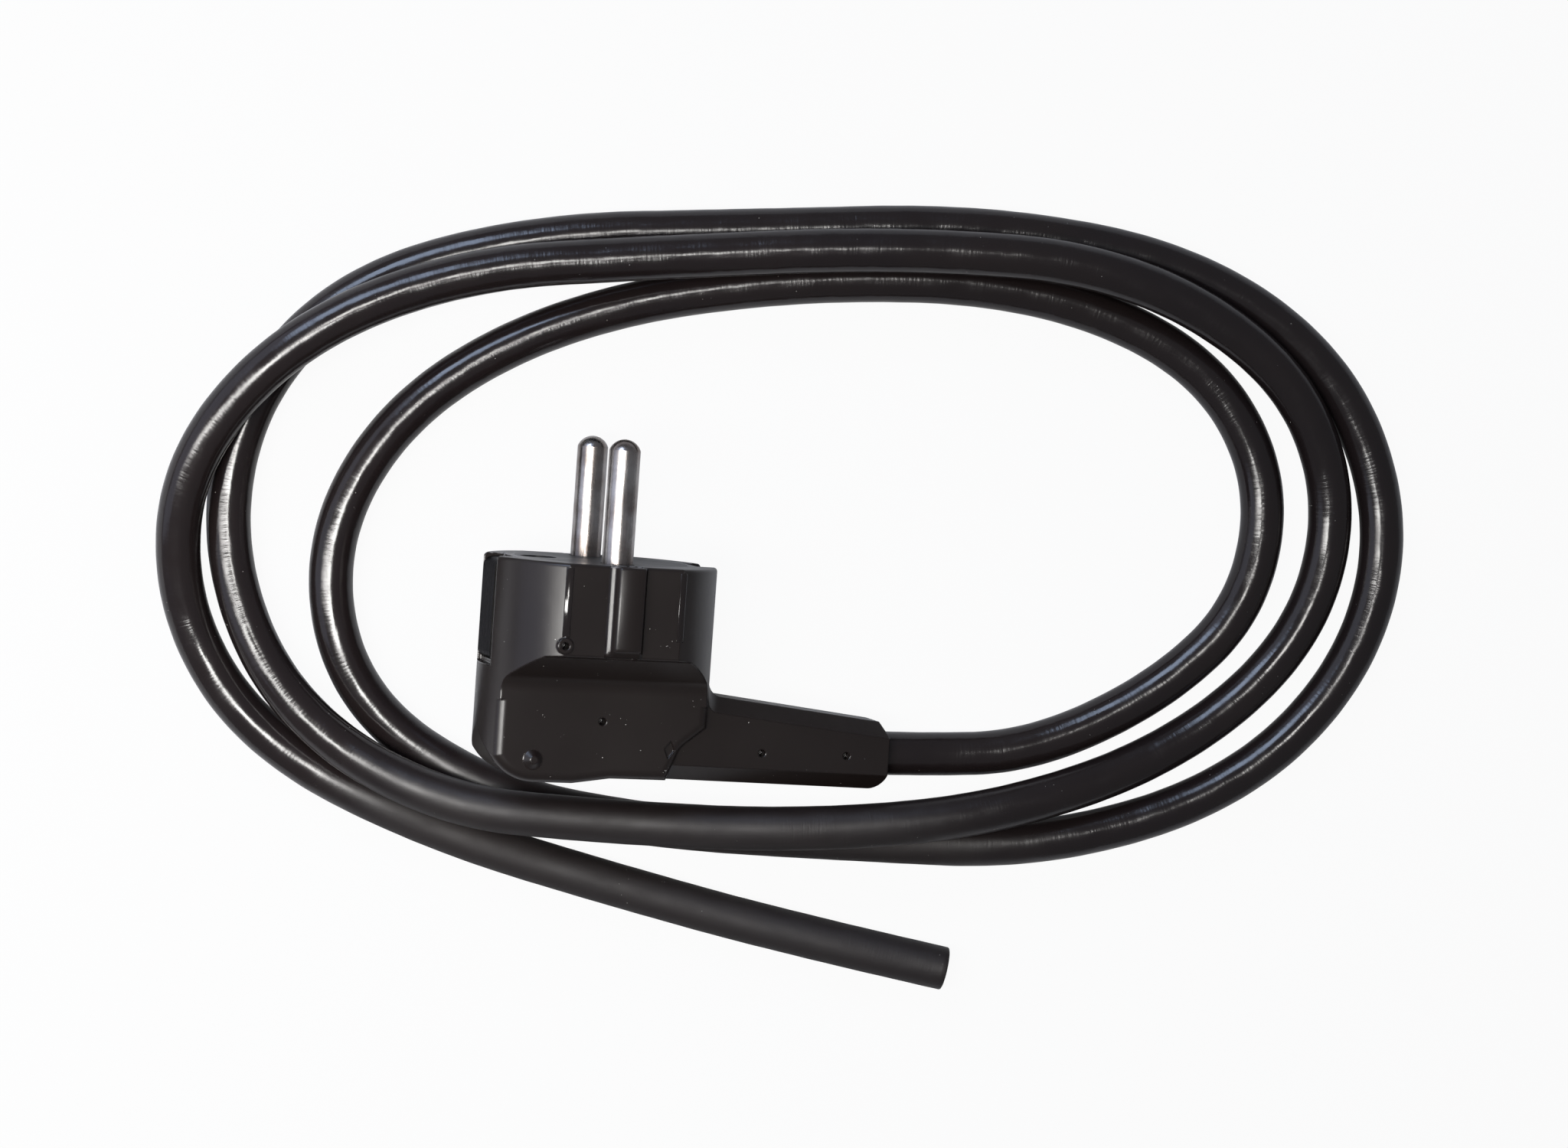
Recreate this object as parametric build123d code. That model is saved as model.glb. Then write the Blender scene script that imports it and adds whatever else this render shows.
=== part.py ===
from build123d import *
import math
import os

# A mains power cord, cut bare at its far end.
#
# The plug is moulded in one piece round its metal parts: a round head with two flats, a thin grip behind
# it and a sleeve that leaves sideways. It carries two round pins, earth contacts on both sides of the
# head, and a socket for an earth pin. The cord is a round three-core flex that lies in loose oval turns.
#
# Millimetres. The plug is drawn square to itself: +Y runs out along the pins from the pin face, +X along
# the sleeve, and Z through both pins. It is then rolled about Y onto the table, where it rests on the edge
# of one flat and on the end of its sleeve. The origin is the centre of the pin face.

# Pins
PIN_DIAMETER = 4.8
PIN_LENGTH = 19.0
PIN_SPACING = 19.0
PIN_DOME = 1.7
PIN_NECK_DIAMETER = 4.0
PIN_NECK_LENGTH = 2.0
PIN_COLLAR_DIAMETER = 6.0
PIN_COLLAR_LENGTH = 1.6
PIN_ROOT_LENGTH = 1.4
BARREL_DIAMETER = 3.2
BARREL_LENGTH = 3.5

# Moulded head
HEAD_DIAMETER = 36.2
HEAD_ACROSS_FLATS = 31.5
HEAD_LENGTH = 14.0
FACE_ROUND = 0.6
STEP_ROUND = 0.5
GROOVE_WIDTH = 5.2
GROOVE_DEPTH = 1.5
GROOVE_DRAFT = 18.0

# Grip behind the head
BODY_LENGTH = 34.2
GRIP_THICKNESS = 15.4
GRIP_HOLLOW = 0.9
COVE_STEP = 1.8
COVE_STEP_LEAN = 0.3
COVE_FOOT_DEPTH = 18.6
COVE_RADIUS = 3.0
CORNER_RADIUS = 8.0
GRIP_ROUND = 1.6
GRIP_SHOULDER_DEPTH = 24.0
GRIP_SHOULDER_X = 12.9
GRIP_SHOULDER_DROP = 4.2
GRIP_SHOULDER_LEAN = 2.0
GRIP_HOLLOW_X = 2.0
GRIP_HEEL_X = -4.0
GRIP_BEND = 3.0

# Sleeve
SLEEVE_END_X = 47.9
SLEEVE_ROOT_X = 9.0
SLEEVE_ROOT_TOP = 19.0
SLEEVE_END_TOP = 23.2
SLEEVE_END_BOTTOM = 34.0
SLEEVE_ROOT_THICKNESS = 12.8
SLEEVE_END_THICKNESS = 10.8
SLEEVE_BEVEL = 2.5
SLEEVE_END_ROUND = 2.4
SLEEVE_END_BEVEL = (1.2, 2.2)
NECK_FILLET = 2.4

# Marks of the mould
CORE_PIN_HOLE = 1.2
CORE_PIN_SKIN = 0.4
SLEEVE_HOLE_X = (26.5, 40.7)
GRIP_HOLE_X = -0.1
GRIP_HOLE_DEPTH = 24.4
GRIP_HOLE_REACH = 2.5
RIM_HOLE_DEPTH = 12.4
RIM_DIAMETER = 2.4
RIM_HEIGHT = 0.25
NIB_X = -10.7
NIB_DEPTH = 30.6
NIB_DIAMETER = 3.0
NIB_HEIGHT = 0.9
DIAMOND_X = 10.9
DIAMOND_DEPTH = 28.4
DIAMOND_WIDTH = 1.7
DIAMOND_LENGTH = 2.9
DIAMOND_SINK = 0.5
DIAMOND_TURN = 8.0

# Pin bridge, the hard disc in the face that holds the pins
BRIDGE_GAP = 0.75
BRIDGE_THICKNESS = 4.4
PIN_RELIEF_CLEARANCE = 0.3
PIN_RELIEF_DEPTH = 0.4

# Earth contact strip and earth pin socket
STRIP_THICKNESS = 0.8
STRIP_WIDTH = 8.0
STRIP_INSET = 0.5
STRIP_BEND = 1.1
STRIP_HOOK = 2.6
STRIP_TUCK = 4.0
RECESS_SIDE_GAP = 0.5
RECESS_LENGTH = 16.7
EARTH_PIN_DIAMETER = 4.8
SOCKET_GAP = 1.15
SOCKET_CLEARANCE = 0.1
SOCKET_WALL = 0.6
SOCKET_MOUTH_CLEARANCE = 0.4
SOCKET_SETBACK = 1.2
SOCKET_SLIT = 0.6
SOCKET_SLIT_LENGTH = 8.0
EARTH_CRIMP_X = 6.0
EARTH_CRIMP_LENGTH = 3.6

# Cord
CORD_DIAMETER = 7.0
CORE_DIAMETER = 2.6
CORE_RING_RADIUS = 1.55
WIRE_DIAMETER = 1.3
SHEATH_START_X = 22.0
FREE_START_X = 40.0
CORE_POCKET = 3.0
CUT_POCKET = 8.0
WIRE_IN_CORE = 2.0
CORE_BEND = 4.0
CORD_AXIS_DEPTH = 28.6

# How the cores lie round the cord's axis, in degrees, and where they turn inside the plug
CORE_ANGLES = {"earth": 90, "line": -30, "neutral": -150}
CORE_LEVEL_X = {"earth": 9.0, "line": 15.0, "neutral": 15.0}
CORE_CROSSING = (2.5, 20.5, 3.4)
CORE_TURN_DEPTH = 11.0
EARTH_TURN_DEPTH = 25.0

# The cord's route after the plug: X, Y and how far it is lifted off the table where it crosses itself
ROUTE = [
    (71, -27.5, 0),
    (92.5, -19, 0),
    (107.5, -3, 0),
    (108, 20, 0),
    (94, 38.5, 0),
    (66, 48, 0),
    (29, 46.5, 0),
    (-7, 38.5, 0),
    (-33, 22, 0),
    (-44.5, -1.5, 0),
    (-37.5, -25, 0),
    (-15, -38.5, 0),
    (11, -44, 0),
    (42, -43.5, 0),
    (74, -42.5, 0),
    (104.5, -32, 0),
    (122.5, -11.5, 0),
    (127.5, 13, 0),
    (117, 37.5, 0),
    (92.5, 53, 0),
    (58, 57.5, 0),
    (20, 53.5, 0),
    (-14, 50, 0),
    (-42.5, 40, 0),
    (-58, 20.5, 0),
    (-60, -4.5, 0),
    (-48, -27, 3),
    (-23.5, -38, 7.6),
    (3.5, -42, 7.8),
    (35, -42, 7.6),
    (67, -37, 5.5),
    (96.5, -26, 0),
    (115.5, -6.5, 0),
    (118.5, 17.5, 0),
    (106, 37.5, 3),
    (78.5, 51.3, 7),
    (43, 52, 6.8),
    (7, 47.8, 6.5),
    (-25, 43, 6.8),
    (-50.5, 30.5, 8.5),
    (-66.5, 10, 5.8),
    (-66.5, -13.5, 0),
    (-52.5, -33, 0),
    (-24.5, -45.5, 0),
    (11.5, -54, 0),
    (36, -59, 0),
    (60, -63, 0),
]
RUN_SHARE = 0.45

# Worked out from the sizes above
HEAD_R = HEAD_DIAMETER / 2
FLAT_Z = HEAD_ACROSS_FLATS / 2
FLAT_HALF_CHORD = math.sqrt(HEAD_R**2 - FLAT_Z**2)
GRIP_Z = GRIP_THICKNESS / 2
HOLLOW_DEPTH = BODY_LENGTH - GRIP_HOLLOW
PIN_R = PIN_DIAMETER / 2
PIN_Z = PIN_SPACING / 2
COLLAR_END_DEPTH = PIN_NECK_LENGTH + PIN_COLLAR_LENGTH
ROOT_END_DEPTH = COLLAR_END_DEPTH + PIN_ROOT_LENGTH
BARREL_END_DEPTH = ROOT_END_DEPTH + BARREL_LENGTH
CORD_R = CORD_DIAMETER / 2
STRIP_HALF = STRIP_THICKNESS / 2
STRIP_FRONT_DEPTH = STRIP_INSET + STRIP_HALF
STRIP_BACK_DEPTH = RECESS_LENGTH - STRIP_INSET - STRIP_HALF
STRIP_SIDE_X = math.sqrt(HEAD_R**2 - (STRIP_WIDTH / 2) ** 2) - STRIP_HALF
STRIP_TUCK_X = STRIP_SIDE_X - STRIP_HOOK
HOOK_INNER_X = STRIP_TUCK_X - STRIP_HALF
BRIDGE_R = HOOK_INNER_X - BRIDGE_GAP
EARTH_CRIMP_END_DEPTH = STRIP_BACK_DEPTH + STRIP_HALF + EARTH_CRIMP_LENGTH
SOCKET_BORE = EARTH_PIN_DIAMETER + 2 * SOCKET_CLEARANCE
SOCKET_DIAMETER = SOCKET_BORE + 2 * SOCKET_WALL
SOCKET_MOUTH = EARTH_PIN_DIAMETER + 2 * SOCKET_MOUTH_CLEARANCE
EARTH_PIN_OFFSET = HOOK_INNER_X - SOCKET_GAP - SOCKET_DIAMETER / 2
SOCKET_BACK_DEPTH = STRIP_BACK_DEPTH - STRIP_HALF
ROLL = math.atan2(FLAT_Z - SLEEVE_END_THICKNESS / 2, SLEEVE_END_X - FLAT_HALF_CHORD)
TABLE_Z = -FLAT_HALF_CHORD * math.sin(ROLL) - FLAT_Z * math.cos(ROLL)
LAID_Z = TABLE_Z + CORD_R
TOUCHDOWN_X = -LAID_Z / math.sin(ROLL)


def disc(diameter, start, end, x=0.0, z=0.0):
    """A round bar along the pins, from one depth behind the pin face to another."""
    return extrude(Plane.XZ.offset(start) * Pos(x, z) * Circle(diameter / 2), end - start)


def block(low, high):
    """A box between two corners."""
    size = [b - a for a, b in zip(low, high)]
    return Pos(*low) * Box(*size, align=Align.MIN)


def both_sides(shape):
    """The shape and its mirror image on the plug's other cheek."""
    return shape + mirror(shape, Plane.XY)


def near(vertices, place):
    """The vertex that lies closest to a place."""
    return vertices.sort_by_distance((*place, 0))[0]


def rolled(shape):
    """The shape as the plug lies on the table."""
    return Rot(0, math.degrees(ROLL), 0) * shape


def on_sleeve_axis(x):
    """A point on the sleeve's own axis, as the plug lies."""
    return (x * math.cos(ROLL), -CORD_AXIS_DEPTH, -x * math.sin(ROLL))


def head_profile():
    """The head seen along the sleeve, as depth and half thickness: flats, then a cove down to the grip."""
    step = (-HEAD_LENGTH - COVE_STEP_LEAN, FLAT_Z - COVE_STEP)
    foot = (-COVE_FOOT_DEPTH, GRIP_Z)
    back = -COVE_FOOT_DEPTH - COVE_RADIUS
    upper = [(1, FLAT_Z), (-HEAD_LENGTH, FLAT_Z), step, foot, (back, GRIP_Z)]
    lower = [(y, -z) for y, z in reversed(upper)]
    outline = make_face(Polyline(*upper, *lower, close=True))
    for (y, z), radius in ((foot, COVE_RADIUS), (upper[1], STEP_ROUND)):
        pair = [near(outline.vertices(), (y, z)), near(outline.vertices(), (y, -z))]
        outline = fillet(pair, radius)
    return outline


def grip_section():
    """The grip cut across the pins: the head's circle with two flat cheeks and rounded edges."""
    section = Circle(HEAD_R) & Rectangle(HEAD_DIAMETER, GRIP_THICKNESS)
    return fillet(section.vertices(), GRIP_ROUND)


def side_profile():
    """The plug seen across the grip, without its sleeve."""
    back = -BODY_LENGTH
    shoulder = -GRIP_SHOULDER_DEPTH - GRIP_SHOULDER_DROP
    corners = [
        (-HEAD_R, 1),
        (HEAD_R, 1),
        (HEAD_R, -GRIP_SHOULDER_DEPTH),
        (GRIP_SHOULDER_X, shoulder),
        (GRIP_SHOULDER_X - GRIP_SHOULDER_LEAN, -HOLLOW_DEPTH),
        (GRIP_HOLLOW_X, -HOLLOW_DEPTH),
        (GRIP_HEEL_X, back),
        (-HEAD_R, back),
    ]
    outline = make_face(Polyline(*corners, close=True))
    outline = fillet(near(outline.vertices(), corners[7]), CORNER_RADIUS)
    bends = [near(outline.vertices(), corners[k]) for k in (3, 5, 6)]
    return fillet(bends, GRIP_BEND)


def head_and_grip():
    """The head with its flats, and the grip behind it, as one solid."""
    head = disc(HEAD_DIAMETER, 0, COVE_FOOT_DEPTH + COVE_RADIUS)
    head &= extrude(Plane.YZ * head_profile(), HEAD_R + 1, both=True)
    head = fillet(head.edges().filter_by_position(Axis.Y, -0.01, 0.01), FACE_ROUND)
    sides = extrude(side_profile(), GRIP_Z, both=True)
    cheeks = sides.faces().filter_by(Axis.Z).edges()
    ends = cheeks.filter_by(lambda e: e.center().Y < -GRIP_SHOULDER_DEPTH - 0.1)
    grip = extrude(Plane.XZ.offset(HEAD_LENGTH) * grip_section(), BODY_LENGTH - HEAD_LENGTH + 1)
    return head + (grip & fillet(ends, GRIP_ROUND))


def sleeve_section(x, top, bottom, thickness):
    """The sleeve cut across, as a bevelled rectangle."""
    outline = chamfer(Rectangle(bottom - top, thickness).vertices(), SLEEVE_BEVEL)
    return Plane.YZ.offset(x) * Pos(-(top + bottom) / 2, 0) * outline


def sleeve():
    """The tapered sleeve, with a bevelled and a rounded corner at its end."""
    root = sleeve_section(SLEEVE_ROOT_X, SLEEVE_ROOT_TOP, HOLLOW_DEPTH, SLEEVE_ROOT_THICKNESS)
    end = sleeve_section(SLEEVE_END_X, SLEEVE_END_TOP, SLEEVE_END_BOTTOM, SLEEVE_END_THICKNESS)
    back, drop = SLEEVE_END_BEVEL
    corners = [
        (SLEEVE_ROOT_X, -SLEEVE_ROOT_TOP),
        (SLEEVE_END_X - back, -SLEEVE_END_TOP),
        (SLEEVE_END_X, -SLEEVE_END_TOP - drop),
        (SLEEVE_END_X, -SLEEVE_END_BOTTOM),
        (SLEEVE_ROOT_X, -HOLLOW_DEPTH),
    ]
    side = make_face(Polyline(*corners, close=True))
    side = fillet(near(side.vertices(), corners[3]), SLEEVE_END_ROUND)
    return loft([root, end]) & extrude(side, SLEEVE_ROOT_THICKNESS, both=True)


def neck(solid):
    """The solid with the corner between head and sleeve filled out."""
    side = SLEEVE_ROOT_THICKNESS / 2 - 1
    low = -SLEEVE_ROOT_TOP - 1.5 * SLEEVE_BEVEL

    def is_meeting(edge):
        place = edge.center()
        on_head = abs(math.hypot(place.X, place.Z) - HEAD_R) < 0.1 and place.X > 0
        return on_head and low < place.Y < -SLEEVE_ROOT_TOP and abs(place.Z) < side

    return fillet(solid.edges().filter_by(is_meeting), NECK_FILLET)


def groove():
    """The key groove in the upper flat, with drafted walls."""
    lift = 1.0
    lean = math.tan(math.radians(GROOVE_DRAFT))
    top = GROOVE_WIDTH / 2 + lift * lean
    floor = GROOVE_WIDTH / 2 - GROOVE_DEPTH * lean
    high, low = FLAT_Z + lift, FLAT_Z - GROOVE_DEPTH
    section = make_face(Polyline((-top, high), (top, high), (floor, low), (-floor, low), close=True))
    return extrude(Plane.XZ.offset(-1) * section, HEAD_LENGTH + STEP_ROUND + 1)


def contact_recess():
    """The channel down the right side of the head, and its turn over the face, for the earth strip."""
    half = STRIP_WIDTH / 2 + RECESS_SIDE_GAP
    channel = block((STRIP_SIDE_X - STRIP_HALF, -RECESS_LENGTH, -half), (HEAD_R + 1, 1, half))
    turn = block((STRIP_TUCK_X - STRIP_HALF, -STRIP_INSET - STRIP_THICKNESS, -half), (HEAD_R + 1, 1, half))
    return channel + turn


def sunk_hole(x, depth, top, floor):
    """A hole that a core pin of the mould left in the upper cheek."""
    return Pos(x, -depth, floor) * extrude(Circle(CORE_PIN_HOLE / 2), top - floor)


def mould_holes():
    """The core pin holes of both cheeks."""
    sheath_top = CORD_R + CORE_PIN_SKIN
    holes = [sunk_hole(x, CORD_AXIS_DEPTH, SLEEVE_ROOT_THICKNESS, sheath_top) for x in SLEEVE_HOLE_X]
    holes.append(sunk_hole(GRIP_HOLE_X, GRIP_HOLE_DEPTH, GRIP_Z + 1, GRIP_Z - GRIP_HOLE_REACH))
    holes.append(sunk_hole(-FLAT_HALF_CHORD, RIM_HOLE_DEPTH, FLAT_Z + 1, FLAT_Z - GRIP_HOLE_REACH))
    return both_sides(Part() + holes)


def mould_rims():
    """The raised rims round the holes at the flats' edges."""
    rim = Pos(-FLAT_HALF_CHORD, -RIM_HOLE_DEPTH, FLAT_Z - RIM_DIAMETER / 2)
    return both_sides(rim * extrude(Circle(RIM_DIAMETER / 2), RIM_DIAMETER / 2 + RIM_HEIGHT))


def grip_nib():
    """The low cone near the grip's outer corner."""
    return Pos(NIB_X, -NIB_DEPTH, GRIP_Z) * Cone(
        NIB_DIAMETER / 2, NIB_DIAMETER / 5, NIB_HEIGHT, align=(Align.CENTER, Align.CENTER, Align.MIN)
    )


def grip_diamond():
    """The diamond-shaped sink near the grip's inner corner."""
    half_w, half_l = DIAMOND_WIDTH / 2, DIAMOND_LENGTH / 2
    shape = make_face(Polyline((half_w, 0), (0, half_l), (-half_w, 0), (0, -half_l), close=True))
    place = Pos(DIAMOND_X, -DIAMOND_DEPTH, GRIP_Z - DIAMOND_SINK) * Rot(0, 0, -DIAMOND_TURN)
    return extrude(place * shape, DIAMOND_SINK + 1)


def contact_pin(z):
    """A solid round pin with a domed tip, a neck and collar that the bridge grips, and a crimp barrel."""
    wire_r, barrel_r = WIRE_DIAMETER / 2, BARREL_DIAMETER / 2
    neck_r, collar_r = PIN_NECK_DIAMETER / 2, PIN_COLLAR_DIAMETER / 2
    dome_r = (PIN_R**2 + PIN_DOME**2) / (2 * PIN_DOME)
    dome = RadiusArc((0, PIN_LENGTH), (PIN_R, PIN_LENGTH - PIN_DOME), dome_r)
    wall = Polyline(
        (PIN_R, PIN_LENGTH - PIN_DOME),
        (PIN_R, 0),
        (neck_r, 0),
        (neck_r, -PIN_NECK_LENGTH),
        (collar_r, -PIN_NECK_LENGTH),
        (collar_r, -COLLAR_END_DEPTH),
        (neck_r, -COLLAR_END_DEPTH),
        (neck_r, -ROOT_END_DEPTH),
        (barrel_r, -ROOT_END_DEPTH),
        (barrel_r, -BARREL_END_DEPTH),
        (wire_r, -BARREL_END_DEPTH),
        (wire_r, -ROOT_END_DEPTH),
        (0, -ROOT_END_DEPTH),
        (0, PIN_LENGTH),
    )
    return Pos(0, 0, z) * revolve(make_face(dome + wall), Axis.Y)


def pin_bridge(pins):
    """The disc that holds both pins, with a relief round each and the earth pin's way through."""
    plate = disc(2 * BRIDGE_R, 0, BRIDGE_THICKNESS)
    plate -= disc(SOCKET_MOUTH, 0, SOCKET_SETBACK, x=-EARTH_PIN_OFFSET)
    plate -= disc(SOCKET_DIAMETER, SOCKET_SETBACK, BRIDGE_THICKNESS, x=-EARTH_PIN_OFFSET)
    relief = disc(PIN_DIAMETER + 2 * PIN_RELIEF_CLEARANCE, 0, PIN_RELIEF_DEPTH, z=PIN_Z)
    return plate - pins - both_sides(relief)


def earth_contact():
    """One bent strip: hooked over the face, down one side, across the plug and up the other side."""
    right = [
        (STRIP_SIDE_X, -STRIP_BACK_DEPTH),
        (STRIP_SIDE_X, -STRIP_FRONT_DEPTH),
        (STRIP_TUCK_X, -STRIP_FRONT_DEPTH),
        (STRIP_TUCK_X, -STRIP_TUCK),
    ]
    left = [(-x, y) for x, y in reversed(right)]
    path = FilletPolyline(*left, *right, radius=STRIP_BEND)
    section = Plane(path @ 0, x_dir=(0, 0, 1), z_dir=path % 0) * Rectangle(STRIP_WIDTH, STRIP_THICKNESS)
    strip = sweep(section, path=path)
    start = STRIP_BACK_DEPTH + STRIP_HALF
    crimp = disc(BARREL_DIAMETER, start, EARTH_CRIMP_END_DEPTH, x=EARTH_CRIMP_X)
    bore = disc(WIRE_DIAMETER, start, EARTH_CRIMP_END_DEPTH, x=EARTH_CRIMP_X)
    return strip + (crimp - bore)


def earth_socket():
    """The slit cup that takes the earth pin of the wall socket, standing on the strip."""
    depth = SOCKET_BACK_DEPTH
    cup = disc(SOCKET_DIAMETER, SOCKET_SETBACK, depth, x=-EARTH_PIN_OFFSET)
    cup -= disc(SOCKET_BORE, SOCKET_SETBACK, depth - SOCKET_WALL, x=-EARTH_PIN_OFFSET)
    half, reach = SOCKET_SLIT / 2, SOCKET_DIAMETER / 2 + 1
    slit_end = -SOCKET_SETBACK - SOCKET_SLIT_LENGTH
    slit = block((-EARTH_PIN_OFFSET - half, slit_end, -reach), (-EARTH_PIN_OFFSET + half, 0, reach))
    return cup - slit


def core_place(name):
    """Where a core lies in the cord's section: across the plug and back from the face."""
    angle = math.radians(CORE_ANGLES[name])
    return CORE_RING_RADIUS * math.cos(angle), CORE_RING_RADIUS * math.sin(angle)


def inner_core(name, bends, end, crimp_length):
    """A core from the sheath's end to its crimp, by way of its bends, and the bared wire at its end."""
    across, back = core_place(name)
    start = (SHEATH_START_X + CORE_POCKET, -CORD_AXIS_DEPTH - back, across)
    level = (CORE_LEVEL_X[name], *start[1:])
    path = FilletPolyline(start, level, *bends, end, radius=CORE_BEND)
    core = sweep(Plane(path @ 0, z_dir=path % 0) * Circle(CORE_DIAMETER / 2), path=path)
    into_core = Plane(path @ 1, z_dir=path % 1).offset(-WIRE_IN_CORE)
    wire = extrude(into_core * Circle(WIRE_DIAMETER / 2), WIRE_IN_CORE + crimp_length)
    return core - wire, wire


def cord_route():
    """The cord's corners: out of the sleeve, down to the table and round its turns."""
    laid = [(x, y, LAID_Z + lift) for x, y, lift in ROUTE]
    return [on_sleeve_axis(FREE_START_X), on_sleeve_axis(TOUCHDOWN_X), *laid]


def cord_path(route):
    """Straight runs joined by arcs that are as wide as the runs beside them allow."""
    radii = []
    for before, here, after in zip(route, route[1:], route[2:]):
        arriving, leaving = Vector(*here) - Vector(*before), Vector(*after) - Vector(*here)
        turn = math.radians(arriving.get_angle(leaving))
        radii.append(RUN_SHARE * min(arriving.length, leaving.length) / math.tan(turn / 2))
    print("cord radii", [round(radius) for radius in radii])
    return FilletPolyline(*route, radius=radii)


def cord_and_cut_end():
    """The sheath, and the ends of its cores and wires, all cut off flush."""
    path = cord_path(cord_route())
    tube = sweep(Plane(path @ 0, z_dir=path % 0) * Circle(CORD_R), path=path)
    section = math.pi * CORD_R**2
    share = tube.volume / (section * path.length)
    print("cord length", round(path.length, 1), "volume over section times length", round(share, 4))
    tail = Plane(path @ 0, z_dir=-(path % 0))
    tube += extrude(tail * Circle(CORD_R), FREE_START_X - SHEATH_START_X)
    cut_end = Plane(path @ 1, x_dir=(0, 0, 1), z_dir=-(path % 1))
    pieces = {}
    for name in CORE_ANGLES:
        pocket = cut_end * Pos(*core_place(name))
        core = extrude(pocket * Circle(CORE_DIAMETER / 2), CUT_POCKET)
        wire = extrude(pocket * Circle(WIRE_DIAMETER / 2), CUT_POCKET)
        tube -= core
        pieces[f"cut_{name}_core"] = core - wire
        pieces[f"cut_{name}_wire"] = wire
    return tube, pieces


def plug():
    """The plug's pieces by name, square to the pins."""
    line_pin, neutral_pin = contact_pin(PIN_Z), contact_pin(-PIN_Z)
    pieces = {
        "line_pin": line_pin,
        "neutral_pin": neutral_pin,
        "pin_bridge": pin_bridge(line_pin + neutral_pin),
        "earth_contact": earth_contact(),
        "earth_socket": earth_socket(),
    }
    x, depth, side = CORE_CROSSING
    for name, sign in (("line", 1), ("neutral", -1)):
        bends = [(x, -depth, sign * side), (0, -CORE_TURN_DEPTH, sign * PIN_Z)]
        core, wire = inner_core(name, bends, (0, -BARREL_END_DEPTH, sign * PIN_Z), BARREL_LENGTH)
        pieces[f"{name}_core"] = core
        pieces[f"{name}_wire"] = wire
    bends = [(EARTH_CRIMP_X, -EARTH_TURN_DEPTH, 0)]
    end = (EARTH_CRIMP_X, -EARTH_CRIMP_END_DEPTH, 0)
    pieces["earth_core"], pieces["earth_wire"] = inner_core("earth", bends, end, EARTH_CRIMP_LENGTH)
    return pieces


def plug_body(pieces):
    """The moulding round everything in it."""
    body = neck(head_and_grip() + sleeve())
    body = body + mould_rims() + grip_nib()
    body -= groove() + mirror(groove(), Plane.XY)
    body -= contact_recess() + mirror(contact_recess(), Plane.YZ)
    body -= mould_holes()
    body -= grip_diamond()
    body -= disc(2 * BRIDGE_R, 0, BRIDGE_THICKNESS)
    body -= disc(SOCKET_DIAMETER, 0, SOCKET_BACK_DEPTH, x=-EARTH_PIN_OFFSET)
    body -= extrude(Plane.YZ.offset(SHEATH_START_X) * Pos(-CORD_AXIS_DEPTH, 0) * Circle(CORD_R), SLEEVE_END_X)
    for piece in pieces.values():
        body -= piece
    return body


inner = plug()
solids = {name: rolled(piece) for name, piece in inner.items()}
solids["plug_body"] = rolled(plug_body(inner))
sheath, cut_pieces = cord_and_cut_end()
for name in CORE_ANGLES:
    sheath -= solids[f"{name}_core"]
solids["cord_sheath"] = sheath
solids.update(cut_pieces)

os.makedirs("parts", exist_ok=True)
for name, solid in solids.items():
    export_step(solid, f"parts/{name}.step")
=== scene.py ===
# %% [markdown]
# # A power cord in loose turns
# The object is a black mains cord with a moulded angled plug. The plug came from the CAD as exact solids,
# so its shapes stay and get their finishes here, and two ribs and four soft corners are added to it. The
# cord is soft, so it is built again in this script as a smooth tube that lies near the CAD's cord.

import math

import bmesh
import bpy
import numpy as np
from mathutils import Euler, Matrix, Vector


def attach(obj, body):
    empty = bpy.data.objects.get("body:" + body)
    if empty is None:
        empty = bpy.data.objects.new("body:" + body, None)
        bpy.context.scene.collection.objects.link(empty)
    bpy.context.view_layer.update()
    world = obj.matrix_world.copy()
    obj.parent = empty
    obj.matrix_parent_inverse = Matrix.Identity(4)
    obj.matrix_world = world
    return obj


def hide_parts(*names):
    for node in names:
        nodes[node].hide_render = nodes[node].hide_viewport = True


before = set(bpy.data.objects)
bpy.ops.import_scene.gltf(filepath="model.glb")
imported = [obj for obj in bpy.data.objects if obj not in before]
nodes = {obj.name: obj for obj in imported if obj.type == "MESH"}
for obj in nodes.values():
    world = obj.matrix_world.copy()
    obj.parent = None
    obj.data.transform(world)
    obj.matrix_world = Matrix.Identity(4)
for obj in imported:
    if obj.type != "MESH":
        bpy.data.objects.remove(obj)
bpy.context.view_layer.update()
MM = 0.001
print("nodes", len(nodes))

# %% [markdown]
# ## The plug's place
# The plug is drawn square to its pins and then rolled about the pins' direction, because it rests on the
# edge of one flat and on the end of its sleeve. Anything that is added to the plug is placed in the square
# drawing and rolled in the same way.

# %% The plug's roll and the table's height
HEAD_RADIUS = 18.1 * MM
FLAT_HEIGHT = 15.75 * MM
FLAT_HALF_CHORD = math.sqrt(HEAD_RADIUS**2 - FLAT_HEIGHT**2)
SLEEVE_END = (47.9 * MM, 5.4 * MM)
ROLL = math.atan2(FLAT_HEIGHT - SLEEVE_END[1], SLEEVE_END[0] - FLAT_HALF_CHORD)
TABLE_HEIGHT = -FLAT_HALF_CHORD * math.sin(ROLL) - FLAT_HEIGHT * math.cos(ROLL)
PLUG_TO_ROW = Matrix.Rotation(ROLL, 4, "Y")
print("roll", round(math.degrees(ROLL), 2), "table", round(TABLE_HEIGHT / MM, 2))

# %% [markdown]
# ## The camera
# The picture was taken from above, nearly straight down. The camera's place was solved from the two pins,
# whose size is standard, so it is given here as plain numbers: millimetres, and degrees about x, y and z.

# %% Camera
CAMERA_PLACE = (-3.56, 24.67, 492.42)
CAMERA_TURN = (-3.152, -3.511, 4.098)
CAMERA_LENS = 72.86

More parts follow.
